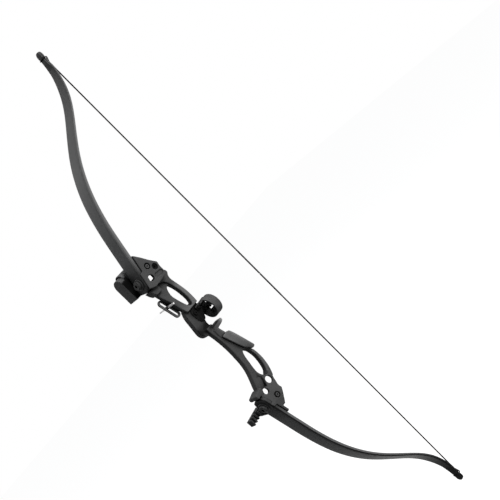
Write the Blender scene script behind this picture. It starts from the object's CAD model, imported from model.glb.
# Looks of a takedown recurve bow: its finishes, limbs, string, rounded castings, brushes and studio
import math
import random

import bmesh
import bpy
import numpy as np
from mathutils import Matrix, Vector


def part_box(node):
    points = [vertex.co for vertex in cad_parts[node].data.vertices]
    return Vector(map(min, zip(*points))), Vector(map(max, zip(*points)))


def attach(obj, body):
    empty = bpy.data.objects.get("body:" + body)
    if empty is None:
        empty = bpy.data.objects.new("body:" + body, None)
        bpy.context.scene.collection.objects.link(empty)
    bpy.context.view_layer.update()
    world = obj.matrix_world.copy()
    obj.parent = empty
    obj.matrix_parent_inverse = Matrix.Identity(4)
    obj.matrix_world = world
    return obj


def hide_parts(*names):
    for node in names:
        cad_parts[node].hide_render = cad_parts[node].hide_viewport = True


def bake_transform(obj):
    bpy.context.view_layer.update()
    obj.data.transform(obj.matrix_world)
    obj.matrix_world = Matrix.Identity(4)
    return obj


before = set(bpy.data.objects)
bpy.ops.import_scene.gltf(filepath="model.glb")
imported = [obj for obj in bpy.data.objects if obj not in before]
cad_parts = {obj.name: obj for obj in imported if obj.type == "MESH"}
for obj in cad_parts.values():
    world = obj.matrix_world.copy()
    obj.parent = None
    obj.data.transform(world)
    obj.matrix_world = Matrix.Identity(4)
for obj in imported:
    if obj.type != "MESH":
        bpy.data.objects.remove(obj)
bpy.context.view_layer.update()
scene = bpy.context.scene
scene.view_settings.view_transform = "Standard"

# Camera, at the photograph's place, in metres. Its axes are the columns of the matrix.
CAMERA_PLACE = (-1.1739, -1.6717, 0.3343)
CAMERA_AXES = ((0.4857, 0.5979, -0.6376), (-0.5243, -0.3844, -0.7599), (-0.6994, 0.7034, 0.1268))
SENSOR_WIDTH, LENS = 36, 64.54
NEAREST, FARTHEST = 0.05, 60

camera = bpy.data.objects.new("camera", bpy.data.cameras.new("camera"))
scene.collection.objects.link(camera)
scene.camera = camera
camera.matrix_world = Matrix.Translation(CAMERA_PLACE) @ Matrix(CAMERA_AXES).to_4x4()
camera.data.sensor_width = SENSOR_WIDTH
camera.data.lens = LENS
camera.data.clip_start = NEAREST
camera.data.clip_end = FARTHEST

# From here on sizes and places are in millimetres, where nothing else is said
MM = 0.001


# Materials
def grey(value, warm=0.0):
    """A grey tone, turned towards a warm white where warm is above 0."""
    return (value * (1 + warm), value, value * (1 - warm * 0.5))


BLACK = grey(0.003)
NEAR_BLACK = grey(0.004)
WHITE = grey(1.0)
# Values of the textures between which patches and specks come up
PATCHES, SPECKS = (0.35, 0.65), (0.62, 0.72)
# How sharp the surface is where edges are rubbed, and where inner corners hold grime
RUBBED_EDGES, GRIMY_CORNERS = (0.53, 0.6), (0.44, 0.495)
# How open a point is to the outside where dust comes up, and how much of it there is
DUSTY, MOST_DUST = (0.4, 0.97), 0.9
# The worn finish at which a surface has all of its rubbed tone
MOST_WORN = 1.8
# Places of the sockets of a Mix node that mixes colours
MIX_FACTOR, MIX_A, MIX_B, MIX_RESULT = 0, 6, 7, 2


def empty_tree(owner):
    """The node tree of a material or world, without its first nodes."""
    owner.use_nodes = True
    owner.node_tree.nodes.clear()
    return owner.node_tree


def new_material(name):
    """A material with one principled shader. Returns it with its node tree and the shader."""
    m = bpy.data.materials.new(name)
    t = empty_tree(m)
    out = t.nodes.new("ShaderNodeOutputMaterial")
    shader = t.nodes.new("ShaderNodeBsdfPrincipled")
    t.links.new(shader.outputs[0], out.inputs[0])
    return m, t, shader


def kept_value(t, name):
    """Node that reads what a mesh keeps at each of its points."""
    node = t.nodes.new("ShaderNodeAttribute")
    node.attribute_name = name
    return node


def sharpness(t):
    """How sharp the surface is at a point: above 0.5 on edges, below it in corners."""
    return t.nodes.new("ShaderNodeNewGeometry").outputs["Pointiness"]


def noise(t, where, scale, detail, stretch=(1, 1, 1)):
    """Noise from 0 to 1, drawn out along an axis where stretch is below 1."""
    mapping = t.nodes.new("ShaderNodeMapping")
    mapping.inputs["Scale"].default_value = stretch
    t.links.new(where, mapping.inputs["Vector"])
    node = t.nodes.new("ShaderNodeTexNoise")
    node.inputs["Scale"].default_value = scale
    node.inputs["Detail"].default_value = detail
    t.links.new(mapping.outputs[0], node.inputs["Vector"])
    return node.outputs["Fac"]


def ranged(t, value, low, high, to_low, to_high):
    """The value moved from the range low to high into the range to_low to to_high, and held there."""
    node = t.nodes.new("ShaderNodeMapRange")
    for socket, limit in (("From Min", low), ("From Max", high), ("To Min", to_low), ("To Max", to_high)):
        node.inputs[socket].default_value = limit
    t.links.new(value, node.inputs["Value"])
    return node.outputs["Result"]


def computed(t, operation, *values):
    """Result of one operation on links and numbers, in the order of the node's sockets."""
    node = t.nodes.new("ShaderNodeMath")
    node.operation = operation
    for socket, value in zip(node.inputs, values):
        if isinstance(value, (int, float)):
            socket.default_value = value
        else:
            t.links.new(value, socket)
    return node.outputs[0]


def mixed(t, amount, a, b):
    """Tone a, or tone b where the amount is 1. Each tone is a link or three numbers."""
    node = t.nodes.new("ShaderNodeMix")
    node.data_type = "RGBA"
    for socket, tone in ((MIX_A, a), (MIX_B, b)):
        if isinstance(tone, tuple):
            node.inputs[socket].default_value = (*tone, 1)
        else:
            t.links.new(tone, node.inputs[socket])
    t.links.new(amount, node.inputs[MIX_FACTOR])
    return node.outputs[MIX_RESULT]


def recessed(t, tone, reach):
    """The tone with dark dust in bores, slots and inner corners, up to reach from their walls."""
    hidden = t.nodes.new("ShaderNodeAmbientOcclusion")
    hidden.samples = 8
    hidden.inputs["Distance"].default_value = reach * MM
    return mixed(t, ranged(t, hidden.outputs["AO"], *DUSTY, MOST_DUST, 0), tone, BLACK)


def bumped(t, shader, height, depth, bevel=0.0):
    """Raises the surface by a texture of the given depth, over edges rounded by a radius of bevel."""
    bump = t.nodes.new("ShaderNodeBump")
    bump.inputs["Distance"].default_value = depth * MM
    t.links.new(height, bump.inputs["Height"])
    if bevel:
        edge = t.nodes.new("ShaderNodeBevel")
        edge.samples = 4
        edge.inputs["Radius"].default_value = bevel * MM
        t.links.new(edge.outputs[0], bump.inputs["Normal"])
    t.links.new(bump.outputs[0], shader.inputs["Normal"])


def material(name, dark, light, rough, grain, depth, patch, metallic=0.0, specular=0.5, wear=None,
             pores=None, bevel=0.0, grime=0.0, dust=8.0, deep=False):
    """A painted, moulded or machined surface: patchy tone, uneven roughness, a grain and rubbed edges.

    The tone goes from dark to light in patches, and the roughness between the two values of rough.
    grain, patch and pores say how fine those textures are, and depth how deep the grain is. wear is the
    tone of rubbed edges, grime how dark inner corners are and dust how far the dust reaches. bevel is
    the radius of rounded edges. deep adds the dark and the worn finish that the mesh keeps at its points.
    """
    m, t, shader = new_material(name)
    where = t.nodes.new("ShaderNodeTexCoord").outputs["Object"]
    big = noise(t, where, patch, detail=3)
    fine = noise(t, where, grain, detail=2)
    tone = mixed(t, ranged(t, big, *PATCHES, 0, 1), dark, light)
    speck = ranged(t, noise(t, where, grain * 0.45, detail=3), *SPECKS, 0, 0.35)
    speck_tone = tuple(min(1, c * 1.5 + 0.012) for c in light)
    tone = mixed(t, speck, tone, speck_tone)
    if wear:
        tone = mixed(t, ranged(t, sharpness(t), *RUBBED_EDGES, 0, 0.5), tone, wear)
    if grime:
        tone = mixed(t, ranged(t, sharpness(t), *GRIMY_CORNERS, grime, 0), tone, NEAR_BLACK)
    tone = recessed(t, tone, dust)
    if deep:
        tone = mixed(t, kept_value(t, "deep").outputs["Fac"], tone, BLACK)
    if deep and wear:
        rubbed = ranged(t, kept_value(t, "worn").outputs["Fac"], 0, MOST_WORN, 0, 1)
        tone = mixed(t, rubbed, tone, wear)
    t.links.new(tone, shader.inputs["Base Color"])
    uneven = computed(t, "MULTIPLY_ADD", fine, 0.6, big)
    t.links.new(ranged(t, uneven, 0.4, 1.2, *rough), shader.inputs["Roughness"])
    shader.inputs["Metallic"].default_value = metallic
    shader.inputs["Specular IOR Level"].default_value = specular
    height = fine
    if pores:
        cells = t.nodes.new("ShaderNodeTexVoronoi")
        cells.inputs["Scale"].default_value = pores
        t.links.new(where, cells.inputs["Vector"])
        height = computed(t, "MULTIPLY_ADD", cells.outputs["Distance"], 1.6, fine)
    bumped(t, shader, height, depth, bevel)
    return m


def laminate():
    """Limb laminate: fibre skins with fine streaks along the limb and a dark core along its edges.

    The finish is darker towards the tips and in the pockets. Heights are in metres here.
    """
    m, t, shader = new_material("limb_laminate")
    where = kept_value(t, "rest_place").outputs["Vector"]
    layer = kept_value(t, "layer").outputs["Fac"]
    place = t.nodes.new("ShaderNodeSeparateXYZ")
    t.links.new(where, place.inputs[0])
    z = place.outputs["Z"]
    streak = noise(t, where, 260, detail=3, stretch=(1, 4, 0.12))
    big = noise(t, where, 14, detail=3)
    streaky = computed(t, "MULTIPLY_ADD", big, 0.6, streak)
    skin = mixed(t, ranged(t, streaky, 0.5, 1.2, 0, 1), grey(0.080), grey(0.110))
    grain = noise(t, where, 700, detail=4, stretch=(1, 1, 0.06))
    core = mixed(t, ranged(t, grain, *PATCHES, 0, 1), grey(0.006), grey(0.012))
    past_skin = ranged(t, layer, -0.97, -0.9, 0, 1)
    before_middle = ranged(t, layer, -0.25, -0.1, 1, 0)
    fainter_above = ranged(t, z, -0.1, 0.1, 1, 0.4)
    seam = computed(t, "MULTIPLY", past_skin, before_middle)
    seam = computed(t, "MULTIPLY", seam, fainter_above)
    tone = mixed(t, seam, skin, core)
    upper_tip = ranged(t, z, 0.56, 0.70, 0, 0.5)
    lower_tip = ranged(t, z, -0.56, -0.66, 0, 0.88)
    pocket = ranged(t, computed(t, "ABSOLUTE", z), 0.22, 0.26, 0.6, 0)
    for amount in (upper_tip, lower_tip, pocket):
        tone = mixed(t, amount, tone, NEAR_BLACK)
    t.links.new(recessed(t, tone, reach=10), shader.inputs["Base Color"])
    uneven = computed(t, "MULTIPLY_ADD", streak, 0.5, big)
    t.links.new(ranged(t, uneven, 0.4, 1.1, 0.30, 0.46), shader.inputs["Roughness"])
    shader.inputs["Specular IOR Level"].default_value = 0.02
    bumped(t, shader, streak, depth=0.03)
    return m


PAINT = material("riser_paint", grey(0.034), grey(0.048), rough=(0.5, 0.68), grain=2200, depth=0.05,
                 patch=18, wear=grey(0.13), specular=0.03, grime=0.85, dust=18, deep=True)
GRIP = material("grip_moulding", grey(0.078), grey(0.098), rough=(0.55, 0.7), grain=1800, depth=0.05,
                patch=30, wear=grey(0.13), pores=1100, specular=0.03, grime=0.8, deep=True)
STEEL_DARK = material("black_oxide", grey(0.012), grey(0.020), rough=(0.4, 0.56), grain=2600, depth=0.02,
                      patch=120, wear=grey(0.09), bevel=0.35, specular=0.06, dust=3)
STEEL = material("plain_steel", grey(0.42), grey(0.55), rough=(0.25, 0.45), grain=2400, depth=0.01,
                 patch=160, metallic=1.0, bevel=0.25)
BRASS = material("brass", (0.45, 0.33, 0.13), (0.6, 0.46, 0.2), rough=(0.3, 0.5), grain=2000, depth=0.02,
                 patch=90, metallic=1.0)
SIGHT = material("sight_coating", grey(0.040), grey(0.054), rough=(0.45, 0.65), grain=2400, depth=0.03,
                 patch=60, wear=grey(0.14), bevel=0.4, specular=0.04)
BEAD = material("pale_bead", grey(0.50, 0.02), grey(0.60, 0.02), rough=(0.3, 0.45), grain=900, depth=0.01,
                patch=200, bevel=0.5)
REST = material("rest_moulding", grey(0.044), grey(0.058), rough=(0.55, 0.7), grain=1600, depth=0.04,
                patch=60, pores=1300, bevel=0.4, specular=0.02, grime=0.6, deep=True)
REST_BLACK = material("rest_plate_coating", grey(0.005), grey(0.009), rough=(0.6, 0.75), grain=2000,
                      depth=0.03, patch=60, bevel=0.4, specular=0.01)
BRISTLE = material("bristle", grey(0.006), grey(0.014), rough=(0.6, 0.8), grain=900, depth=0.02,
                   patch=600, specular=0.05)
HOOD = material("hood_moulding", grey(0.072), grey(0.094), rough=(0.55, 0.72), grain=1500, depth=0.06,
                patch=25, wear=grey(0.10), pores=900, specular=0.03, grime=0.9, deep=True)
FOAM = material("hood_foam", grey(0.012), grey(0.020), rough=(0.8, 0.95), grain=900, depth=0.3,
                patch=90, pores=420, specular=0.05)
RUBBER = material("gripper_rubber", grey(0.036), grey(0.050), rough=(0.66, 0.84), grain=1400, depth=0.05,
                  patch=60, pores=1200, specular=0.03, dust=3)
FIBRE = material("string_fibre", grey(0.006), grey(0.014), rough=(0.5, 0.7), grain=2500, depth=0.02,
                 patch=300, specular=0.02, dust=0.8)
THREAD = material("serving_thread", grey(0.006), grey(0.014), rough=(0.5, 0.7), grain=3000, depth=0.02,
                  patch=400, specular=0.02, dust=0.8)
LAMINATE = laminate()


# Mesh helpers
def piece(name, verts, faces, mat, body=None, replaces=(), smooth=True):
    """An object from vertices in metres. Without a body here, its maker says what it rides on."""
    me = bpy.data.meshes.new(name)
    me.from_pydata([tuple(v) for v in verts], [], [tuple(int(i) for i in f) for f in faces])
    me.validate()
    me.materials.append(mat)
    me.polygons.foreach_set("use_smooth", [smooth] * len(me.polygons))
    ob = bpy.data.objects.new(name, me)
    scene.collection.objects.link(ob)
    if body:
        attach(ob, body)
    if replaces:
        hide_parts(*replaces)
    return ob


def ring_faces(rows, cols, first=0):
    """Quads between rings of cols vertices each, and a face over either end."""
    out = []
    for i in range(rows - 1):
        near, far = first + i * cols, first + (i + 1) * cols
        for j in range(cols):
            k = (j + 1) % cols
            out.append((near + j, near + k, far + k, far + j))
    last = first + (rows - 1) * cols
    out.append(tuple(first + j for j in range(cols))[::-1])
    out.append(tuple(last + j for j in range(cols)))
    return out


def add_tube(verts, faces, path, radius, sides):
    """Adds a tube along a path of points. The radius is one value, or one for each point."""
    points = np.array(path, float)
    along = np.gradient(points, axis=0)
    along /= np.linalg.norm(along, axis=1)[:, None]
    off_axis = (0.31, 0.22, 0.93)
    across = np.cross(along[0], off_axis)
    radii = np.broadcast_to(np.asarray(radius, float), (len(points),))
    turn = np.linspace(0, 2 * math.pi, sides, endpoint=False)
    rings = []
    for point, way, r in zip(points, along, radii):
        across = across - way * np.dot(across, way)
        across /= np.linalg.norm(across)
        other = np.cross(way, across)
        rings.append(point + r * (np.cos(turn)[:, None] * across + np.sin(turn)[:, None] * other))
    faces.extend(ring_faces(len(points), sides, len(verts)))
    verts.extend(np.concatenate(rings) * MM)


def keep_values(ob, name, values):
    """Keeps one value for each point of the mesh, for its material."""
    kept = ob.data.attributes.new(name, "FLOAT", "POINT")
    kept.data.foreach_set("value", [float(v) for v in values])


def clamped(v):
    """The value, held between 0 and 1."""
    return max(0.0, min(1.0, v))


def rising(v, start, length):
    """0 up to start, and from there up to 1 over a length."""
    return clamped((v - start) / length)


def falling(v, end, length):
    """1 at first, then down over a length to 0 at the end."""
    return clamped((end - v) / length)


def eased(t):
    """From 0 to 1 with a slow start and a slow end."""
    return 3 * t * t - 2 * t ** 3


# The limb's curve and outline, from the same named values as the solids
POCKET_AHEAD, POCKET_END = 50.0, 259.0
# Leans in degrees at equal steps from the pocket to the tip of the strung limb
LEANS = [13.6, 20.6, 32.2, 42.6, 41.8, 22.3, 0.4]
POCKET_LEAN = math.radians(LEANS[0])
# Clamped part of the limb, how much of it is inside the pocket, and the radius of its rounded end
BUTT_LENGTH, BUTT_INSIDE, BUTT_ROUND = 128.0, 86.0, 15.0
LIMB_LENGTH, LIMB_STEPS = 510.0, 36
LIMB_STEP = LIMB_LENGTH / LIMB_STEPS
LIMB_WIDTH, LIMB_MID_WIDTH, LIMB_TIP_WIDTH = 41.0, 44.0, 25.0
BUTT_THICKNESS, TIP_THICKNESS = 11.0, 6.0
# Half the width at the nock, and how far the nock is below the tip
NOCK_HALF, NOCK_BACK = 8.2, 20.0
# The limb narrows from this far below the nock, over this length
NECK_BELOW, NECK_LENGTH = 34.0, 26.0
TIP_ROUND = 10.0
OVERLAY_THICKNESS, GROOVE_DEPTH = 3.0, 2.0
STRING_D, SERVING_D = 3.2, 3.6
# Between a string and what it lies on
LAID_ON = 0.3


def curve(points, k, t):
    """Value on a smooth curve through equally spaced points, at t between point k and the next."""
    last = len(points) - 1
    a, b, c, d = points[max(k - 1, 0)], points[k], points[k + 1], points[min(k + 2, last)]
    return 0.5 * (2 * b + (c - a) * t + (2 * a - 5 * b + 4 * c - d) * t * t
                  + (3 * b - a - 3 * c + d) * t ** 3)


def lean(s):
    """Lean of the strung limb at a share s of its length."""
    spans = len(LEANS) - 1
    k = min(spans - 1, int(s * spans))
    return math.radians(curve(LEANS, k, s * spans - k))


def heading(a):
    """Direction of a limb with lean a, as x and z."""
    return np.array([math.sin(a), math.cos(a)])


POCKET_CORNER = np.array([-POCKET_AHEAD, POCKET_END])
FLEX = POCKET_CORNER + (BUTT_LENGTH - BUTT_INSIDE) * heading(POCKET_LEAN)
LINE = [FLEX]
for i in range(LIMB_STEPS):
    LINE.append(LINE[-1] + LIMB_STEP * heading(lean((i + 0.5) / LIMB_STEPS)))
TIP_X, TIP_Z = LINE[-1]
NOCK_Z = TIP_Z - NOCK_BACK
NECK_START = NOCK_Z - NECK_BELOW
HALF_BUTT, HALF_MID, HALF_NECK = LIMB_WIDTH / 2, LIMB_MID_WIDTH / 2, LIMB_TIP_WIDTH / 2
# Half widths at equal steps from the pocket end to the start of the neck
FLANK = [HALF_BUTT, HALF_BUTT]
FLANK += [HALF_BUTT + share * (HALF_MID - HALF_BUTT) for share in (0.3, 0.8, 1)]
FLANK += [HALF_MID - share * (HALF_MID - HALF_NECK) for share in (0.02, 0.14, 0.47, 1)]
# Heights from the nock's middle, with how much wider the limb is there than its neck
NOCK_OUTLINE = ((-NECK_BELOW + NECK_LENGTH, 0), (-3, 0), (-1.2, -1.9), (0, -2.05), (1.2, -1.8),
                (3.4, 0.4), (8, 0.6), (10, 0.6))


def limb_at(d):
    """Middle of the limb and its lean, d past the flex point. Before that point the limb is straight."""
    if d <= 0:
        return FLEX + d * heading(POCKET_LEAN), POCKET_LEAN
    i = min(LIMB_STEPS - 1, int(d / LIMB_STEP))
    t = d / LIMB_STEP - i
    start = LIMB_STEP * heading(lean(i / LIMB_STEPS))
    end = LIMB_STEP * heading(lean((i + 1) / LIMB_STEPS))
    p = ((1 - eased(t)) * LINE[i] + (t ** 3 - 2 * t * t + t) * start
         + eased(t) * LINE[i + 1] + (t ** 3 - t * t) * end)
    return p, lean(d / LIMB_LENGTH)


def half_width(z):
    """Half the limb's width at a height, with the nock grooves and the rounded tip."""
    if z < POCKET_END:
        return HALF_BUTT
    if z < NECK_START:
        spans = len(FLANK) - 1
        s = spans * (z - POCKET_END) / (NECK_START - POCKET_END)
        k = min(spans - 1, int(s))
        return curve(FLANK, k, s - k)
    if z < NECK_START + NECK_LENGTH:
        return HALF_NECK + (NOCK_HALF - HALF_NECK) * eased((z - NECK_START) / NECK_LENGTH)
    heights, wider = zip(*NOCK_OUTLINE)
    round_start = NOCK_Z + heights[-1]
    if z > round_start:
        past = (z - round_start) / TIP_ROUND
        return (NOCK_HALF + wider[-1]) * math.sqrt(max(0.0, 1 - past ** 2))
    return NOCK_HALF + float(np.interp(z - NOCK_Z, heights, wider))


def section(half_w, half_t, crown=0.35, corner=1.3):
    """Rounded cross-section with crowned faces, as (width, thickness, layer) points in order.

    The layer goes from -1 on the target's side of the limb to 1 on the archer's.
    """
    arc_steps, flat_steps = 4, 5
    r = min(corner, half_t * 0.8, half_w * 0.8)
    flat_w, flat_t = half_w - r, half_t - r
    outline = []
    for k, (side_w, side_t) in enumerate(((1, 1), (-1, 1), (-1, -1), (1, -1))):
        for j in range(arc_steps + 1):
            a = math.pi / 2 * (k + j / arc_steps)
            outline.append((side_w * flat_w + r * math.cos(a), side_t * flat_t + r * math.sin(a)))
        if k in (0, 2):
            for j in range(1, flat_steps + 1):
                outline.append((side_w * flat_w * (1 - 2 * j / (flat_steps + 1)), side_t * half_t))
        else:
            outline.append((side_w * half_w, 0))
    out = []
    for y, v in outline:
        on_face = abs(v) > half_t * 0.6
        rise = crown * (1 - min(1, abs(y) / half_w) ** 2) if on_face else 0.0
        out.append((y, v + math.copysign(rise, v), v / half_t))
    return out


SECTION_POINTS = len(section(LIMB_WIDTH / 2, BUTT_THICKNESS / 2))


def laminated(name, verts, layers, low, body=None):
    """Piece of laminate from the points of its sections, with what its material reads.

    Its sections run the other way round on the upper limb, so there the faces are turned over.
    """
    faces = ring_faces(len(verts) // SECTION_POINTS, SECTION_POINTS)
    if not low:
        faces = [f[::-1] for f in faces]
    ob = piece(name, verts, faces, LAMINATE, body)
    keep_values(ob, "layer", layers)
    kept = ob.data.attributes.new("rest_place", "FLOAT_VECTOR", "POINT")
    kept.data.foreach_set("vector", [float(c) for v in verts for c in v])
    return ob


def limb_stations():
    """Distances past the flex point of the limb's sections, closer where its outline turns."""
    butt_turn = np.linspace(0.04, math.pi / 2, 10)
    tip_turn = np.linspace(0.05, math.pi / 2 - 0.03, 14)
    rounded_butt = -BUTT_LENGTH + BUTT_ROUND * (1 - np.cos(butt_turn))
    in_pocket = np.linspace(-BUTT_LENGTH + BUTT_ROUND + 2, 0, 22)
    flank = np.linspace(4, LIMB_LENGTH - 64, 84)
    neck = np.linspace(LIMB_LENGTH - 62, LIMB_LENGTH - 27, 26)
    nocks = np.linspace(LIMB_LENGTH - 26, LIMB_LENGTH - 11, 32)
    rounded_tip = LIMB_LENGTH - TIP_ROUND + TIP_ROUND * np.sin(tip_turn)
    return np.concatenate([rounded_butt, in_pocket, flank, neck, nocks, rounded_tip])


def limb(name, butt_node, limb_node, low):
    """One limb in a single piece, from its rounded butt in the pocket to the nocks."""
    sign = -1 if low else 1
    round_end = -BUTT_LENGTH + BUTT_ROUND
    verts, layers = [], []
    for d in limb_stations():
        (x, z), a = limb_at(d)
        thinner = min(1, 1.5 * max(0.0, d / LIMB_LENGTH))
        half_t = (BUTT_THICKNESS + (TIP_THICKNESS - BUTT_THICKNESS) * thinner) / 2
        half_w = half_width(z)
        if d < round_end:
            half_w += math.sqrt(max(0.0, BUTT_ROUND ** 2 - (round_end - d) ** 2)) - BUTT_ROUND
        for y, v, layer in section(half_w, half_t):
            verts.append(((x + v * math.cos(a)) * MM, y * MM, sign * (z - v * math.sin(a)) * MM))
            layers.append(layer)
    ob = laminated(name, verts, layers, low)
    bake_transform(ob)
    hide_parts(butt_node, limb_node)


def tip_overlay(name, body, low):
    """Tapered overlay on the back of the tip, which deepens the nock grooves."""
    sign = -1 if low else 1
    thin_edge, rounded_off = 0.25, 1.4
    rise_length = 24
    glued_in, inset, back_layer = 0.1, 0.25, 0.9
    neck = np.linspace(-NECK_BELOW, -8, 22)
    nocks = np.linspace(-7, 9.5, 34)
    rounded_tip = TIP_ROUND + 9.2 * np.sin(np.linspace(0.05, 1.5, 12))
    verts = []
    for z in NOCK_Z + np.concatenate([neck, nocks, rounded_tip]):
        rise = eased(min(1.0, (z - NECK_START) / rise_length))
        past = max(0.0, (z - NOCK_Z - TIP_ROUND) / TIP_ROUND)
        thick = thin_edge + (OVERLAY_THICKNESS - thin_edge) * rise - rounded_off * past ** 2
        (x, _), a = limb_at(LIMB_LENGTH - (TIP_Z - z))
        half_w = max(0.4, half_width(z) - inset)
        middle = x - TIP_THICKNESS / 2 * math.cos(a) + glued_in - thick / 2
        for y, v, _ in section(half_w, thick / 2, crown=0.3, corner=0.9):
            verts.append(((middle + v) * MM, y * MM, sign * z * MM))
    laminated(name, verts, [back_layer] * len(verts), low, body)


limb("upper_limb_skin", "upper_limb_butt", "upper_limb", False)
limb("lower_limb_skin", "lower_limb_butt", "lower_limb", True)
tip_overlay("upper_tip_overlay", "upper_limb", False)
tip_overlay("lower_tip_overlay", "lower_limb", True)

# String, twisted from strands, with wound servings and loops
STRING_X = TIP_X + TIP_THICKNESS / 2 + STRING_D / 2 + LAID_ON
# The string leaves the served loop at this height
STRING_TOP = NOCK_Z - 28
STRANDS, STRAND_RADIUS, TWIST_PITCH = 8, 0.5, 24.0
# How far the strands and the thread stand out past the solids
STRAND_BULGE = 0.18
SERVING_LENGTH, LOOP_SERVED = 75.0, 13.5
THREAD_RADIUS, THREAD_DENT = 0.28, 0.09
POINTS_A_TURN = 14
# Each half of the serving starts this far from the middle plane, and its bevelled end this far
HALF_GAP, BEVELLED_GAP = 0.2, 0.15
# Slope of the string at full draw against its line at rest
DRAWN_SLOPE = math.tan(math.radians(31.6))


def string_half(name, node, body, low):
    """Half of the string, from under its centre serving to inside the served stretch at its loop."""
    sign = -1 if low else 1
    verts, faces = [], []
    under_serving, in_loop, step = 4, 3, 1.9
    z = np.arange(SERVING_LENGTH - under_serving, STRING_TOP + in_loop, step)
    coil = STRING_D / 2 + STRAND_BULGE - STRAND_RADIUS
    for k in range(STRANDS):
        a = 2 * math.pi * (k / STRANDS + z / TWIST_PITCH)
        path = np.stack([STRING_X + coil * np.cos(a), coil * np.sin(a), sign * z], 1)
        add_tube(verts, faces, path, STRAND_RADIUS, sides=5)
    piece(name, verts, faces, FIBRE, body, (node,))


def winding(verts, faces, start, length, sign):
    """Thread wound closely round a straight stretch of string, over its core."""
    coil = SERVING_D / 2 + STRAND_BULGE - THREAD_RADIUS
    turns = length / (THREAD_RADIUS * 2)
    t = np.linspace(0, 1, int(turns * POINTS_A_TURN))
    a = 2 * math.pi * turns * t
    z = start + THREAD_RADIUS + (length - 2 * THREAD_RADIUS) * t
    path = np.stack([STRING_X + coil * np.cos(a), coil * np.sin(a), sign * z], 1)
    add_tube(verts, faces, path, THREAD_RADIUS, sides=5)
    shorter = 0.1
    core = [(STRING_X, 0, sign * q) for q in np.linspace(start + shorter, start + length - shorter, 12)]
    add_tube(verts, faces, core, coil, sides=14)


def serving(name, node, body, low):
    """Half of the centre serving, bevelled ahead of its middle so that both halves meet at full draw."""
    sign = -1 if low else 1
    verts, faces = [], []
    winding(verts, faces, HALF_GAP, SERVING_LENGTH, sign)
    for v in verts:
        least = BEVELLED_GAP * MM + DRAWN_SLOPE * max(0.0, STRING_X * MM - v[0])
        v[2] = sign * max(abs(v[2]), least)
    piece(name, verts, faces, THREAD, body, (node,))


def rounded(points, radius, step):
    """Path with its corners rounded, as points a step apart."""
    corners = [np.array(p, float) for p in points]
    dense = [corners[0]]
    for a, b, c in zip(corners, corners[1:], corners[2:]):
        back, ahead = a - b, c - b
        back_length, ahead_length = np.linalg.norm(back), np.linalg.norm(ahead)
        r = min(radius, 0.45 * min(back_length, ahead_length))
        start = b + back / back_length * r
        end = b + ahead / ahead_length * r
        for t in np.linspace(0, 1, 14):
            dense.append((1 - t) ** 2 * start + 2 * t * (1 - t) * b + t * t * end)
    dense.append(corners[-1])
    line = np.array(dense)
    run = np.concatenate([[0], np.cumsum(np.linalg.norm(np.diff(line, axis=0), axis=1))])
    at = np.arange(0, run[-1], step)
    return np.stack([np.interp(at, run, line[:, k]) for k in range(3)], 1)


def loop(name, node, body, low):
    """Served loop in the nock grooves and the served stretch below it."""
    sign = -1 if low else 1
    r = STRING_D / 2
    back_x = TIP_X - TIP_THICKNESS / 2 - OVERLAY_THICKNESS - r - LAID_ON
    off_groove = 0.25
    side = NOCK_HALF - GROOVE_DEPTH + r + off_groove
    apart, join_z = 0.4, NOCK_Z - 14
    step = 0.14
    path = rounded([(STRING_X, apart, join_z), (STRING_X, side, NOCK_Z), (back_x, side, NOCK_Z),
                    (back_x, -side, NOCK_Z), (STRING_X, -side, NOCK_Z), (STRING_X, -apart, join_z)],
                   radius=3.2, step=step)
    path[:, 2] *= sign
    turn = np.arange(len(path)) * step / (2 * THREAD_RADIUS) * 2 * math.pi
    ridges = r - THREAD_DENT + THREAD_DENT * np.cos(turn)
    verts, faces = [], []
    add_tube(verts, faces, path, ridges, sides=12)
    above_string = 0.4
    winding(verts, faces, STRING_TOP + r + above_string, LOOP_SERVED, sign)
    piece(name, verts, faces, THREAD, body, (node,))


for side, low in (("upper", False), ("lower", True)):
    string_half(side + "_string_strands", side + "_string", side + "_string", low)
    serving(side + "_serving_wound", side + "_serving", side + "_string", low)
    loop(side + "_loop_served", side + "_loop", side + "_limb", low)


# Castings and mouldings
def applied(ob):
    """Replaces the object's mesh by the one that its modifiers give."""
    evaluated = ob.evaluated_get(bpy.context.evaluated_depsgraph_get())
    me = bpy.data.meshes.new_from_object(evaluated)
    ob.modifiers.clear()
    old = ob.data
    ob.data = me
    bpy.data.meshes.remove(old)


def welded_copy(node, name, mat):
    """Object with the CAD node's mesh, whose facets are joined at their corners."""
    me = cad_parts[node].data.copy()
    bm = bmesh.new()
    bm.from_mesh(me)
    bmesh.ops.remove_doubles(bm, verts=bm.verts, dist=1e-6)
    bm.to_mesh(me)
    bm.free()
    me.materials.clear()
    me.materials.append(mat)
    ob = bpy.data.objects.new(name, me)
    scene.collection.objects.link(ob)
    return ob


def smoothing(ob, steps, group=""):
    """Smooths the object's form, or only the vertices in a group."""
    smooth = ob.modifiers.new("smooth", "SMOOTH")
    smooth.factor = 0.5
    smooth.iterations = steps
    smooth.vertex_group = group


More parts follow.
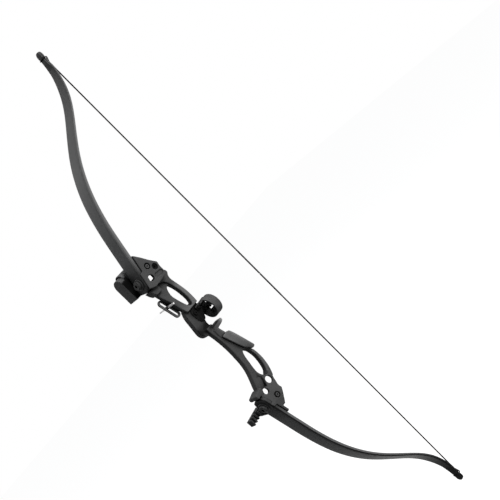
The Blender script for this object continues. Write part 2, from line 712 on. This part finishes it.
def recast(node, name, mat, body, voxel, steps, keep, soft=None, deep=None, worn=None):
    """The CAD node's form with the small radii of a casting or moulding on every edge.

    The form is rebuilt from cells of size voxel, smoothed in some steps, and reduced to the share keep
    of its facets. soft gives how much a point is rounded further, deep how dark its finish is and worn
    how pale.
    """
    ob = welded_copy(node, name, mat)
    cells = ob.modifiers.new("cells", "REMESH")
    cells.mode = "VOXEL"
    cells.voxel_size = voxel * MM
    cells.use_smooth_shade = True
    smoothing(ob, steps)
    if soft:
        applied(ob)
        group = ob.vertex_groups.new(name="soft")
        for v in ob.data.vertices:
            weight = soft(v.co / MM)
            if weight > 0:
                group.add([v.index], weight, "REPLACE")
        smoothing(ob, 12, group.name)
    fewer = ob.modifiers.new("fewer", "DECIMATE")
    fewer.ratio = keep
    applied(ob)
    ob.vertex_groups.clear()
    ob.data.polygons.foreach_set("use_smooth", [True] * len(ob.data.polygons))
    for label, rule in (("deep", deep), ("worn", worn)):
        if rule:
            keep_values(ob, label, [rule(v.co / MM) for v in ob.data.vertices])
    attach(ob, body)
    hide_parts(node)


# Middles of the sunk screw seats in the near cheeks, as x and z
SEATS = ((-34.5, 216.5), (-20.5, 203.5), (-34.5, -201.0))
SEAT_RADIUS = 7.5
# The cheeks' and the arms' faces on the archer's left
NEAR_FACE, ARM_FACE = -23.0, -8.0
# Lines on the riser's side, as x and z: the archer's edge of each gap, and the corner at the lower cheek
UPPER_GAP = ((-19, 152), (-13.5, 144), (-9.5, 132), (-7, 118), (-6, 98), (-10, 83))
LOWER_GAP = ((4, -78), (10, -92), (13, -109), (11, -129), (5, -147), (-5, -157))
LOWER_STEP = ((-29, -140), (-23, -148), (-25, -158), (-30, -165), (-33, -170))
# Boxes of the riser's finish, each as its lowest and highest corner
FREE = math.inf
STEP_ZONE = ((-FREE, -FREE, -173), (-20, 0, -137))
WINDOW_ZONE = ((-FREE, -1.5, 12), (FREE, 1.5, 82))
SHELF_ZONE = ((-30, -13, 10), (6, 1, 26))
LEDGE_ZONE = ((2, -FREE, -1), (FREE, FREE, 15))
# Heights between which the arms' edges are rounder, above and below the grip, and how they fade in
UPPER_ARM, LOWER_ARM, ARM_FADE = (66, 158), (48, 150), 12


def off_line(x, z, line):
    """Distance of a point from a line of several stretches."""
    least = math.inf
    for (ax, az), (bx, bz) in zip(line, line[1:]):
        run_x, run_z = bx - ax, bz - az
        t = clamped(((x - ax) * run_x + (z - az) * run_z) / (run_x ** 2 + run_z ** 2))
        least = min(least, math.hypot(x - ax - t * run_x, z - az - t * run_z))
    return least


def inside(c, zone):
    """Whether a point is inside a box, given as its lowest and highest corner."""
    return all(low < v < high for v, low, high in zip(c, *zone))


def gap_edge(gap, z):
    """How far towards the archer a gap reaches at a height."""
    heights, reaches = zip(*sorted((abs(height), x) for x, height in gap))
    return np.interp(abs(z), heights, reaches)


def in_seat(c):
    """Whether a point is on the wall or the floor of a sunk seat."""
    if not NEAR_FACE + 0.9 < c.y < NEAR_FACE + 14:
        return False
    return any(math.hypot(c.x - x, c.z - z) < SEAT_RADIUS + 0.9 for x, z in SEATS)


def riser_deep(c):
    """Dark finish: the corner at the lower cheek, the seats, the window, the shelf and the gaps' walls."""
    if inside(c, STEP_ZONE):
        return 0.9 * falling(off_line(c.x, c.z, LOWER_STEP), 2.6, 1)
    if in_seat(c):
        return 1.0
    if inside(c, WINDOW_ZONE):
        by_rest = rising(c.x, (60 - c.z) * 0.38 - 34, 12)
        by_shelf = falling(c.z, 37, 7)
        return 0.92 * max(by_rest, by_shelf)
    if inside(c, SHELF_ZONE):
        return 0.9
    gap = UPPER_GAP if c.z > 0 else LOWER_GAP
    low, high = sorted((gap[0][1], gap[-1][1]))
    if abs(c.y) < 6.6 and low < c.z < high and abs(c.x - gap_edge(gap, c.z)) < 3:
        return 0.75
    return 0.0


def riser_worn(c):
    """Pale finish: the thumb ledge, the struts behind the gaps, and the foot over the window."""
    if inside(c, LEDGE_ZONE):
        return MOST_WORN * rising(c.x, 2, 9)
    if c.y > ARM_FACE + 2.5:
        return 0.0
    if c.z > 0:
        behind_gap = rising(c.x, gap_edge(UPPER_GAP, c.z) - 1, 2)
        strut = behind_gap * rising(c.z, 74, 8) * falling(c.z, 150, 14)
        foot = 0.9 * falling(c.z, 102, 22) * rising(c.z, 72, 6)
        return max(strut, foot)
    behind_gap = rising(c.x, gap_edge(LOWER_GAP, c.z) - 1, 2)
    return 0.7 * behind_gap * rising(-c.z, 80, 8) * falling(-c.z, 156, 10)


def on_arms(c):
    """The open arms of the riser, between the window and the pockets, whose edges are rounder."""
    low, high = UPPER_ARM if c.z > 0 else LOWER_ARM
    return min(rising(abs(c.z), low, ARM_FADE), falling(abs(c.z), high, ARM_FADE))


recast("riser", "riser_casting", PAINT, "riser_body",
       voxel=0.9, steps=8, keep=0.45, soft=on_arms, deep=riser_deep, worn=riser_worn)
recast("grip", "grip_moulding", GRIP, "riser_body",
       voxel=0.8, steps=6, keep=0.6,
       soft=lambda c: rising(c.z, -36, 8),
       deep=lambda c: 0.5 * rising(-c.z, 38, 46))
HOOD_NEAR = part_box("hood_shell")[0].y / MM
recast("hood_shell", "hood_moulding", HOOD, "riser_body",
       voxel=0.8, steps=5, keep=0.6,
       deep=lambda c: falling(c.y, HOOD_NEAR + 2.4, 1.6))

# Arrow rest: the ring's middle, its bore and its end towards the target
REST_X, REST_Y, REST_Z = 23.0, -4.5, 46.0
RING_BORE = 22.6
RING_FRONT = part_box("rest_ring")[0].x / MM


def in_ring(c):
    """Dark finish inside the ring, and on the end that faces the target."""
    if math.hypot(c.y - REST_Y, c.z - REST_Z) < RING_BORE + 0.8:
        return 1.0
    return max(0.7 * falling(c.x, RING_FRONT + 1.6, 1), 0.4 * falling(c.x, RING_FRONT + 18, 18))


recast("rest_ring", "rest_ring_moulding", REST, "riser_body",
       voxel=0.5, steps=4, keep=0.7, deep=in_ring)
recast("gripper_bar", "gripper_block", RUBBER, "riser_body",
       voxel=0.5, steps=5, keep=0.6)

# Rest brushes
BRUSH_FILES, BRUSH_ROWS = 24, 17
BRUSH_LENGTH, BRUSH_WIDTH = 15.0, 11.8
BRISTLE_START, BRISTLE_END, BRISTLE_WIDTH = 3.6, 17.3, 0.34
# How far bristles stray, how much their ends differ and fall off sideways, and how they bend and fan out
STRAY, UNEVEN, DOMED = 0.15, 0.9, 0.012
BEND_ALONG, BEND_ACROSS, FAN = 0.4, 0.3, 0.02
# Half the length of a brush's base at heights above the ring's wall
BASE_PROFILE = ((8, 3.2), (8, 3.7), (7.8, 4.0), (7.2, 4.1))
BASE_NARROWER, BASE_SIDES = 1.6, 16


def add_bristle(verts, faces, x, y, end, bend_x, bend_y):
    """Adds a square bristle that thins and bends towards its end."""
    sections, corners = 4, 4
    first = len(verts)
    for k, z in enumerate(np.linspace(BRISTLE_START, end, sections)):
        t = k / (sections - 1)
        middle_x, middle_y = x + bend_x * t * t, y + bend_y * t * t
        out = BRISTLE_WIDTH * (1 - 0.55 * t) / 2 * 1.4
        for a in range(corners):
            q = math.pi / 4 + a * math.pi / 2
            verts.append((middle_x + out * math.cos(q), middle_y + out * math.sin(q), z))
    faces.extend(ring_faces(sections, corners, first))


def add_brush_base(verts, faces):
    """Adds the moulded base of a brush, a block with cut corners and a rounded top."""
    first = len(verts)
    for half_x, z in BASE_PROFILE:
        half_y = half_x - BASE_NARROWER
        for k in range(BASE_SIDES):
            q = 2 * math.pi * (k + 0.5) / BASE_SIDES
            c, s = math.cos(q), math.sin(q)
            m = max(abs(c), abs(s))
            verts.append((half_x * c / m, half_y * s / m, z))
    faces.extend(ring_faces(len(BASE_PROFILE), BASE_SIDES, first))


def brush(name, node, angle, seed):
    """Dense soft bristles that fan a little, in a moulded base, turned about the ring's middle."""
    rng = random.Random(seed)
    verts, faces = [], []
    for i in range(BRUSH_FILES):
        for j in range(BRUSH_ROWS):
            x = -BRUSH_LENGTH / 2 + BRUSH_LENGTH * i / (BRUSH_FILES - 1) + rng.uniform(-STRAY, STRAY)
            y = -BRUSH_WIDTH / 2 + BRUSH_WIDTH * j / (BRUSH_ROWS - 1) + rng.uniform(-STRAY, STRAY)
            end = BRISTLE_END - rng.uniform(0, UNEVEN) - DOMED * y * y
            bend_x = rng.uniform(-BEND_ALONG, BEND_ALONG) + x * FAN
            bend_y = rng.uniform(-BEND_ACROSS, BEND_ACROSS)
            add_bristle(verts, faces, x, y, end, bend_x, bend_y)
    add_brush_base(verts, faces)
    a = math.radians(angle - 90)
    placed = []
    for x, y, z in verts:
        from_middle = z - RING_BORE
        across = y * math.cos(a) - from_middle * math.sin(a)
        up = y * math.sin(a) + from_middle * math.cos(a)
        placed.append(((REST_X + x) * MM, (REST_Y + across) * MM, (REST_Z + up) * MM))
    piece(name, placed, faces, BRISTLE, "riser_body", (node,), smooth=False)


for seed, (letter, angle) in enumerate((("a", 200), ("b", 320), ("c", 80)), 11):
    brush("bristles_" + letter, "rest_brush_" + letter, angle, seed)

# Threaded sight pin
PIN_RADIUS, PIN_PITCH = 1.5, 0.7
THREAD_DEPTH = 0.62 * PIN_PITCH
PIN_BEVEL = 0.5


def threaded_pin(name, node, body):
    """The sight pin as long as its solid, with a thread cut into it and its ends bevelled."""
    (x0, y0, z0), (x1, y1, z1) = np.array(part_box(node)) / MM
    middle_x, middle_z = (x0 + x1) / 2, (z0 + z1) / 2
    sides, rows_a_turn = 18, 6
    rows = int((y1 - y0) / PIN_PITCH * rows_a_turn)
    verts = []
    for i in range(rows + 1):
        y = y0 + (y1 - y0) * i / rows
        thinner = min(1.0, 0.55 + min(y - y0, y1 - y) / PIN_BEVEL)
        for j in range(sides):
            a = 2 * math.pi * j / sides
            phase = ((y - y0) / PIN_PITCH - j / sides) % 1
            r = thinner * (PIN_RADIUS - THREAD_DEPTH * abs(2 * phase - 1))
            verts.append(((middle_x + r * math.cos(a)) * MM, y * MM, (middle_z + r * math.sin(a)) * MM))
    piece(name, verts, ring_faces(rows + 1, sides), STEEL, body, (node,))


threaded_pin("sight_pin_threaded", "sight_pin", "sight_pin")

# CAD nodes that stay, with their finishes
FINISH = {
    "upper_limb_bolt": STEEL_DARK, "lower_limb_bolt": STEEL_DARK, "bolt_washers": STEEL_DARK,
    "bolt_inserts": BRASS, "limb_dowels": STEEL, "pocket_screws": STEEL_DARK,
    "sight_bracket": SIGHT, "sight_screws": STEEL_DARK, "sight_nuts": STEEL_DARK, "sight_bead": BEAD,
    "rest_plate": REST_BLACK, "rest_screw": REST_BLACK, "rest_arm_screw": REST_BLACK, "rest_holders": REST,
    "hood_foam": FOAM, "hood_bracket": SIGHT, "hood_screws": STEEL_DARK,
    "gripper_bracket": SIGHT, "gripper_screws": STEEL_DARK}
for node, mat in FINISH.items():
    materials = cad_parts[node].data.materials
    materials.clear()
    materials.append(mat)

# Floor, world and lamps, in metres
FLOOR_HALF, FLOOR_Z = 9, -1.0
FLOOR_TONE, FLOOR_WHITE = grey(0.16), 0.95
SKY_TONE, SKY_STRENGTH = (0.9, 0.95, 1.0), 0.2
AIM = Vector((0.05, 0, 0))


def on_rays(t, *kinds):
    """1 for these kinds of light rays, and 0 for the others."""
    path = t.nodes.new("ShaderNodeLightPath")
    value = path.outputs[kinds[0]]
    for kind in kinds[1:]:
        value = computed(t, "MAXIMUM", value, path.outputs[kind])
    return value


def backdrop_floor():
    """Floor that the camera sees nearly white, and that takes the object's shadow."""
    m = bpy.data.materials.new("floor")
    t = empty_tree(m)
    out = t.nodes.new("ShaderNodeOutputMaterial")
    total = t.nodes.new("ShaderNodeAddShader")
    plain = t.nodes.new("ShaderNodeBsdfDiffuse")
    glow = t.nodes.new("ShaderNodeEmission")
    plain.inputs["Color"].default_value = (*FLOOR_TONE, 1)
    strength = computed(t, "MULTIPLY", on_rays(t, "Is Camera Ray", "Is Glossy Ray"), FLOOR_WHITE)
    t.links.new(strength, glow.inputs["Strength"])
    t.links.new(plain.outputs[0], total.inputs[0])
    t.links.new(glow.outputs[0], total.inputs[1])
    t.links.new(total.outputs[0], out.inputs[0])
    return m


def studio_world():
    """World that is white to the camera and lights the object with a dim sky."""
    world = bpy.data.worlds.new("studio")
    t = empty_tree(world)
    out = t.nodes.new("ShaderNodeOutputWorld")
    mix = t.nodes.new("ShaderNodeMixShader")
    seen = on_rays(t, "Is Camera Ray", "Is Glossy Ray", "Is Transmission Ray")
    t.links.new(seen, mix.inputs[0])
    for socket, tone, strength in ((1, SKY_TONE, SKY_STRENGTH), (2, WHITE, 1.0)):
        background = t.nodes.new("ShaderNodeBackground")
        background.inputs["Color"].default_value = (*tone, 1)
        background.inputs["Strength"].default_value = strength
        t.links.new(background.outputs[0], mix.inputs[socket])
    t.links.new(mix.outputs[0], out.inputs[0])
    return world


def lamp(name, place, size, power):
    """Square lamp that faces the bow. Its size is in metres and its power in watts."""
    data = bpy.data.lights.new(name, "AREA")
    data.shape = "SQUARE"
    data.size = size
    data.energy = power
    ob = bpy.data.objects.new(name, data)
    scene.collection.objects.link(ob)
    ob.location = place
    ob.rotation_mode = "QUATERNION"
    ob.rotation_quaternion = (AIM - Vector(place)).to_track_quat("-Z", "Y")


floor_mesh = bpy.data.meshes.new("floor")
corners = [(x * FLOOR_HALF, y * FLOOR_HALF, FLOOR_Z) for x, y in ((-1, -1), (1, -1), (1, 1), (-1, 1))]
floor_mesh.from_pydata(corners, [], [(0, 1, 2, 3)])
floor_mesh.materials.append(backdrop_floor())
floor = bpy.data.objects.new("floor", floor_mesh)
scene.collection.objects.link(floor)
scene.world = studio_world()
lamp("key", (0.2, -2.6, 2.0), size=1.2, power=112)
lamp("side", (2.2, -1.8, 0.6), size=1.2, power=60)
lamp("back", (-0.8, 2.4, 1.6), size=1.6, power=34)
lamp("rim", (2.6, -0.2, 1.4), size=1.2, power=90)

bpy.context.view_layer.update()
